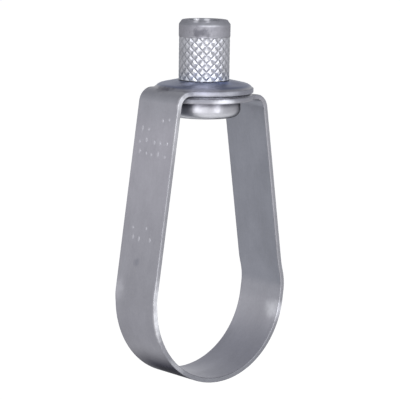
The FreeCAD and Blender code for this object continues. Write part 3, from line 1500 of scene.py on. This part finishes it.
@dataclass(frozen=True)
class DiamondKnurl(Detail):
    """Truncated pyramids laid round a barrel in a diamond pattern."""

    bottom: float
    length: float
    count: int = 18
    rows: int = 5
    root_radius: float = 7.58 * MM
    depth: float = 0.25 * MM
    crest: float = 0.42
    weld: float = 0.02 * MM
    title: ClassVar[str] = "diamond_knurl"

    def sizes(self) -> dict[str, int | float | Point]:
        """Name the tree's inputs.

        Returns:
            Their values, by name.
        """
        return {
            "Diamonds Round": self.count,
            "Rows": self.rows,
            "Bottom": self.bottom,
            "Length": self.length,
            "Root Radius": self.root_radius,
            "Depth": self.depth,
            "Crest": self.crest,
            "Weld": self.weld,
        }

    def wire(self, w: Wiring, given: bpy.types.bpy_prop_collection) -> bpy.types.NodeSocket:
        """Set a pyramid on every second point of a lattice and roll it up.

        Args:
            w: the tree's wiring.
            given: outputs of the group input, by name.

        Returns:
            The knurl.
        """
        across = w.product(given["Diamonds Round"], 2.0)
        along = w.product(given["Rows"], 2.0)
        last_column = w.math("SUBTRACT", across, 1.0)
        lattice = w.node("GeometryNodeMeshGrid")
        w.feed(lattice.inputs["Size X"], last_column)
        w.feed(lattice.inputs["Size Y"], along)
        w.feed(lattice.inputs["Vertices X"], across)
        w.feed(lattice.inputs["Vertices Y"], w.math("ADD", along, 1.0))
        cell = w.position()
        column = w.math("ADD", cell["X"], w.math("DIVIDE", last_column, 2.0))
        row = w.math("ADD", cell["Y"], w.math("DIVIDE", along, 2.0))
        odd = w.math("FLOORED_MODULO", w.math("ROUND", w.math("ADD", column, row)), 2.0)
        even = w.through("FunctionNodeCompare", odd, operation="LESS_THAN")
        in_use(even.inputs, "B").default_value = 0.5
        points = w.through("GeometryNodeMeshToPoints", lattice.outputs["Mesh"])
        w.feed(points.inputs["Selection"], even.outputs[0])

        base = w.node("GeometryNodeMeshCircle", fill_type="NGON")
        base.inputs["Vertices"].default_value = 4
        base.inputs["Radius"].default_value = 1.0
        raised = w.through("GeometryNodeExtrudeMesh", base.outputs["Mesh"], mode="FACES")
        raised.inputs["Offset Scale"].default_value = 1.0
        tip = w.through("GeometryNodeScaleElements", raised.outputs["Mesh"], domain="FACE")
        w.feed(tip.inputs["Selection"], raised.outputs["Top"])
        w.feed(tip.inputs["Scale"], given["Crest"])
        spread = w.through("GeometryNodeInstanceOnPoints", points.outputs["Points"])
        w.feed(spread.inputs["Instance"], tip.outputs["Geometry"])
        real = w.through("GeometryNodeRealizeInstances", spread.outputs[0])

        flat = w.position()
        turn = w.math("DIVIDE", w.product(flat["X"], 2.0 * math.pi), across)
        step = w.math("ADD", flat["Y"], w.math("DIVIDE", along, 2.0))
        step = w.math("MAXIMUM", 0.0, w.math("MINIMUM", step, along))
        rise = w.product(step, w.math("DIVIDE", given["Length"], along))
        radius = w.math("ADD", given["Root Radius"], w.product(flat["Z"], given["Depth"]))
        rolled = w.moved(real.outputs[0], w.wrapped(radius, turn, w.math("ADD", given["Bottom"], rise)))
        merged = w.through("GeometryNodeMergeByDistance", rolled)
        w.feed(merged.inputs["Distance"], given["Weld"])
        facets = w.through("GeometryNodeSetShadeSmooth", merged.outputs[0])
        facets.inputs["Shade Smooth"].default_value = False
        return facets.outputs[0]


@dataclass(frozen=True)
class RodThread(Detail):
    """The 3/8-16 thread's ridge, wound round the inside of the bore."""

    bottom: float
    top: float
    minor_radius: float = mount_size("rod_thread", "r_mm")
    major_radius: float = 4.76 * MM
    pitch: float = 1.5875 * MM
    flank_share: float = 0.24
    root_overlap: float = 0.05 * MM
    end_inset: float = 0.6
    end_fade: float = 1.6
    around: int = 48
    ranks: int = 6
    title: ClassVar[str] = "rod_thread"

    def sizes(self) -> dict[str, int | float | Point]:
        """Name the tree's inputs; the inset and the fade at both ends are in turns.

        Returns:
            Their values, by name.
        """
        inset = self.end_inset * self.pitch
        return {
            "Major Radius": self.major_radius,
            "Minor Radius": self.minor_radius,
            "Pitch": self.pitch,
            "Bottom": self.bottom + inset,
            "Length": self.top - self.bottom - 2.0 * inset,
            "Flank Share": self.flank_share,
            "Root Overlap": self.root_overlap,
            "End Fade": self.end_fade,
            "Steps Round": self.around,
        }

    def wire(self, w: Wiring, given: bpy.types.bpy_prop_collection) -> bpy.types.NodeSocket:
        """Wind a long strip into the ridge, root to crest to root.

        Args:
            w: the tree's wiring.
            given: outputs of the group input, by name.

        Returns:
            The ridge.
        """
        turns = w.math("DIVIDE", given["Length"], given["Pitch"])
        steps = w.math("FLOOR", w.product(turns, given["Steps Round"]))
        strip = w.node("GeometryNodeMeshGrid")
        w.feed(strip.inputs["Vertices X"], w.math("ADD", steps, 1.0))
        strip.inputs["Vertices Y"].default_value = self.ranks
        strip.inputs["Size X"].default_value = 1.0
        strip.inputs["Size Y"].default_value = self.ranks - 1.0
        flat = w.position()
        share = w.math("ADD", flat["X"], 0.5)
        outer_rank = (self.ranks - 1) / 2.0
        crest = w.math("SUBTRACT", outer_rank - 1.0, w.math("ABSOLUTE", flat["Y"]))
        crest = w.math("MINIMUM", 1.0, w.math("MAXIMUM", 0.0, crest))
        end = w.math("MINIMUM", share, w.math("SUBTRACT", 1.0, share))
        fade = w.math("MINIMUM", 1.0, w.product(end, turns, given["End Fade"]))
        depth = w.math("SUBTRACT", given["Major Radius"], given["Minor Radius"])
        root = w.math("ADD", given["Major Radius"], given["Root Overlap"])
        radius = w.math("SUBTRACT", root, w.product(crest, fade, depth))
        climb = w.product(share, given["Length"])
        flank = w.product(flat["Y"], w.product(given["Pitch"], given["Flank Share"]))
        height = w.math("ADD", given["Bottom"], w.math("ADD", climb, flank))
        turn = w.product(share, turns, 2.0 * math.pi)
        wound = w.moved(strip.outputs["Mesh"], w.wrapped(radius, turn, height))
        return w.through("GeometryNodeFlipFaces", wound).outputs[0]


@dataclass
class SwivelNut:
    """The insert nut: knurled barrel, neck through both eyes and a round flange below, tapped through."""

    bottom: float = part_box("swivel_nut")[0][2]
    top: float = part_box("swivel_nut")[1][2]
    flange_height: float = 7.1 * MM
    flange_radius: float = 11.4 * MM
    flange_bottom_rounding: float = 2.4 * MM
    flange_top_rounding: float = 2.0 * MM
    flange_flat: float = 8.0 * MM
    flange_slope: float = 12.0
    barrel_length: float = 18.3 * MM
    barrel_radius: float = 7.94 * MM
    knurl_length: float = 13.2 * MM
    core_radius: float = 7.5 * MM
    chamfer_width: float = 0.94 * MM
    chamfer_height: float = 1.3 * MM
    neck_radius: float = 6.35 * MM
    mouth_radius: float = 4.9 * MM
    edge_rounding: float = 0.15 * MM
    chamfer_foot_rounding: float = 0.45 * MM
    chamfer_top_rounding: float = 0.3 * MM
    mouth_rounding: float = 0.05 * MM
    reach_share: float = 0.48
    wide_steps: int = 10
    fine_steps: int = 4
    around: int = 144

    def thread(self) -> RodThread:
        """The thread from end to end of the bore."""
        return RodThread(self.bottom, self.top)

    def knurl(self) -> DiamondKnurl:
        """The knurl, from the barrel's shoulder up."""
        return DiamondKnurl(self.top - self.barrel_length, self.knurl_length)

    def profile(self) -> list[tuple[float, float, float]]:
        """List the corners of the turned section, walked up its outside.

        Returns:
            Radius, height and rounding of each.
        """
        bore = self.thread().major_radius
        mouth = self.mouth_radius - bore
        flange_top = self.bottom + self.flange_height
        fall = self.flange_radius - self.flange_top_rounding - self.flange_flat
        flange_edge = flange_top - fall * math.tan(math.radians(self.flange_slope))
        shoulder = self.top - self.barrel_length
        knurl_top = shoulder + self.knurl_length
        fine = self.edge_rounding
        return [
            (self.mouth_radius, self.bottom, fine),
            (self.flange_radius, self.bottom, self.flange_bottom_rounding),
            (self.flange_radius, flange_edge, self.flange_top_rounding),
            (self.flange_flat, flange_top, fine),
            (self.neck_radius, flange_top, fine),
            (self.neck_radius, shoulder, fine),
            (self.core_radius, shoulder, 0.0),
            (self.core_radius, knurl_top, 0.0),
            (self.barrel_radius, knurl_top, fine),
            (self.barrel_radius, self.top - self.chamfer_height, self.chamfer_foot_rounding),
            (self.barrel_radius - self.chamfer_width, self.top, self.chamfer_top_rounding),
            (self.mouth_radius, self.top, fine),
            (bore, self.top - mouth, self.mouth_rounding),
            (bore, self.bottom + mouth, self.mouth_rounding),
        ]

    def section(self) -> list[tuple[float, float]]:
        """Walk out the roundings of the section's corners.

        Returns:
            Radius and height of the section's points.
        """
        corners = self.profile()
        points = []
        for index, (radius, height, rounding) in enumerate(corners):
            here = Vector((radius, height))
            if rounding <= 0.0:
                points.append((radius, height))
                continue
            before = Vector(corners[index - 1][:2]) - here
            after = Vector(corners[(index + 1) % len(corners)][:2]) - here
            half = before.angle(after) / 2.0
            room = self.reach_share * min(before.length, after.length)
            reach = min(rounding / math.tan(half), room)
            true_rounding = reach * math.tan(half)
            middle = (before.normalized() + after.normalized()).normalized()
            centre = here + middle * (true_rounding / math.sin(half))
            first = here + before.normalized() * reach - centre
            last = here + after.normalized() * reach - centre
            swing = math.copysign(math.pi - 2.0 * half, first.cross(last))
            steps = self.wide_steps if true_rounding > MM else self.fine_steps
            for step in range(steps + 1):
                turn = swing * step / steps
                across = first.x * math.cos(turn) - first.y * math.sin(turn)
                along = first.x * math.sin(turn) + first.y * math.cos(turn)
                points.append((centre.x + across, centre.y + along))
        return points

    def build(self, finish: NutZinc) -> bpy.types.Object:
        """Build the nut with its knurl and thread.

        Args:
            finish: the nut's finish.

        Returns:
            The finished object.
        """
        section = self.section()
        spots = []
        faces = []
        count = len(section)
        for step in range(self.around):
            angle = 2.0 * math.pi * step / self.around
            for radius, height in section:
                spots.append((radius * math.cos(angle), radius * math.sin(angle), height))
            here = step * count
            there = ((step + 1) % self.around) * count
            for index in range(count):
                after = (index + 1) % count
                faces.append((here + index, there + index, there + after, here + after))
        piece = make_object("nut_body", spots, faces)
        material = finish.material()
        for detail in (self.knurl(), self.thread()):
            detail.grow_on(piece, material)
        return piece


@dataclass
class Lamp:
    """One soft upright lamp that faces the object."""

    name: str
    azimuth: float
    elevation: float
    distance: float
    size: tuple[float, float]
    power: float

    def place(self, target: Vector) -> None:
        """Hang the lamp.

        Args:
            target: the point that it faces.
        """
        data = bpy.data.lights.new(self.name, "AREA")
        data.shape = "RECTANGLE"
        data.size, data.size_y = self.size
        data.energy = self.power
        lamp = bpy.data.objects.new(self.name, data)
        away = direction(self.azimuth, self.elevation)
        lamp.location = target + away * self.distance
        lamp.rotation_euler = away.to_track_quat("Z", "Y").to_euler()
        bpy.context.scene.collection.objects.link(lamp)


def direction(azimuth: float, elevation: float) -> Vector:
    """Find the way from the object to a lamp or the camera.

    Args:
        azimuth: degrees to the right of the front.
        elevation: degrees above level.

    Returns:
        The way, with a length of 1.
    """
    turn = math.radians(azimuth)
    rise = math.radians(elevation)
    return Vector((math.sin(turn) * math.cos(rise), -math.cos(turn) * math.cos(rise), math.sin(rise)))


@dataclass
class Studio:
    """Camera, white surroundings, pale floor and soft lamps."""

    camera_azimuth: float = -40.276
    camera_elevation: float = 9.496
    camera_roll: float = 0.879
    camera_distance: float = 0.65109
    camera_height: float = 0.025584
    sensor: float = 36.0
    lens: float = 188.3
    shift: tuple[float, float] = (-0.0046, 0.0330)
    clip: Range = (0.01, 50.0)
    floor_height: float = -0.35
    floor_radii: Range = (0.5, 8.0)
    floor_steps: int = 96
    floor_roughness: float = 0.9
    floor_tone: float = 0.45
    floor_glow: float = 0.85
    mirrored_floor: float = 0.88
    wall_top: float = 0.28
    ceiling_from: float = 0.85
    ceiling: Colour = (0.52, 0.52, 0.5408)
    plain_level: float = 0.55
    target: Vector = field(default_factory=lambda: Vector((0.0, 0.0, 0.03)))
    lamps: list[Lamp] = field(default_factory=lambda: [
        Lamp("lamp_left", -60.0, 15.0, 0.9, (0.3, 0.85), 3.6),
        Lamp("lamp_front", 2.0, 15.0, 0.9, (0.3, 0.85), 3.6),
        Lamp("lamp_near", -36.0, 20.0, 0.9, (0.3, 0.5), 4.9),
    ])

    def add_camera(self) -> None:
        """Place the camera where the photograph was taken from."""
        data = bpy.data.cameras.new("camera")
        data.sensor_width = self.sensor
        data.lens = self.lens
        data.shift_x, data.shift_y = self.shift
        data.clip_start, data.clip_end = self.clip
        back = direction(self.camera_azimuth, self.camera_elevation)
        right = Vector((0.0, 0.0, 1.0)).cross(back).normalized()
        up = back.cross(right)
        roll = math.radians(self.camera_roll)
        rolled_right = right * math.cos(roll) + up * math.sin(roll)
        rolled_up = up * math.cos(roll) - right * math.sin(roll)
        place = back * self.camera_distance + Vector((0.0, 0.0, self.camera_height))
        camera = bpy.data.objects.new("camera", data)
        basis = Matrix((rolled_right, rolled_up, back)).transposed()
        camera.matrix_world = Matrix.Translation(place) @ basis.to_4x4()
        bpy.context.scene.collection.objects.link(camera)
        bpy.context.scene.camera = camera

    def add_world(self) -> None:
        """White walls that turn to a grey ceiling, at a plain level where they light the object."""
        world = bpy.data.worlds.new("studio")
        bpy.context.scene.world = world
        world.use_nodes = True
        world.node_tree.nodes.clear()
        w = Wiring(world.node_tree)
        seen, mirrored = w.rays()
        height = w.parts(w.node("ShaderNodeTexCoord").outputs["Generated"])["Z"]
        overhead = w.span(height, self.wall_top, self.ceiling_from)
        background = w.node("ShaderNodeBackground")
        w.feed(background.inputs["Color"], w.blend(overhead, (1.0, 1.0, 1.0, 1.0), (*self.ceiling, 1.0)))
        shown = w.math("MAXIMUM", seen, mirrored)
        w.feed(background.inputs["Strength"], w.span(shown, 0.0, 1.0, self.plain_level, smooth=False))
        output = w.node("ShaderNodeOutputWorld")
        w.feed(output.inputs["Surface"], background.outputs[0])

    def add_floor(self) -> None:
        """A wide pale floor, white where the camera sees it, that keeps the object's shadow."""
        count = self.floor_steps
        spots = [(0.0, 0.0, self.floor_height)]
        for radius in self.floor_radii:
            for step in range(count):
                angle = 2.0 * math.pi * step / count
                spots.append((radius * math.cos(angle), radius * math.sin(angle), self.floor_height))
        faces: list[tuple[int, ...]] = []
        for step in range(count):
            after = (step + 1) % count
            faces.append((0, 1 + step, 1 + after))
            faces.append((1 + step, 1 + count + step, 1 + count + after, 1 + after))
        floor = make_object("floor", spots, faces)
        material, w, shader = new_material("pale_floor")
        shader.inputs["Base Color"].default_value = (*[self.floor_tone] * 3, 1.0)
        shader.inputs["Roughness"].default_value = self.floor_roughness
        shader.inputs["Specular IOR Level"].default_value = 0.0
        shader.inputs["Emission Color"].default_value = (1.0, 1.0, 1.0, 1.0)
        seen, mirrored = w.rays()
        glow = w.math("MAXIMUM", seen, w.product(mirrored, self.mirrored_floor))
        w.feed(shader.inputs["Emission Strength"], w.product(glow, self.floor_glow))
        floor.data.materials.append(material)

    def build(self) -> None:
        """Set the whole studio up."""
        bpy.context.scene.view_settings.view_transform = "Standard"
        self.add_camera()
        self.add_world()
        self.add_floor()
        for lamp in self.lamps:
            lamp.place(self.target)


def hand_over(piece: bpy.types.Object, body: str, node: str) -> None:
    """Give a finished piece to the frame.

    Args:
        piece: the piece.
        body: the body that it rides on.
        node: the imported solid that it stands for.
    """
    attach(piece, body)
    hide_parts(node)
    log.info("%s: %d faces", piece.name, len(piece.data.polygons))


def main() -> None:
    """Build the pieces in order and hand them to the frame."""
    logging.basicConfig(level=logging.INFO, format="%(message)s")
    Studio().build()

    strip = RingBand().build(StripZinc())
    hand_over(strip, "ring", "ring_band")
    body = SwivelNut().build(NutZinc())
    hand_over(body, "nut", "swivel_nut")


if __name__ == "__main__":
    main()
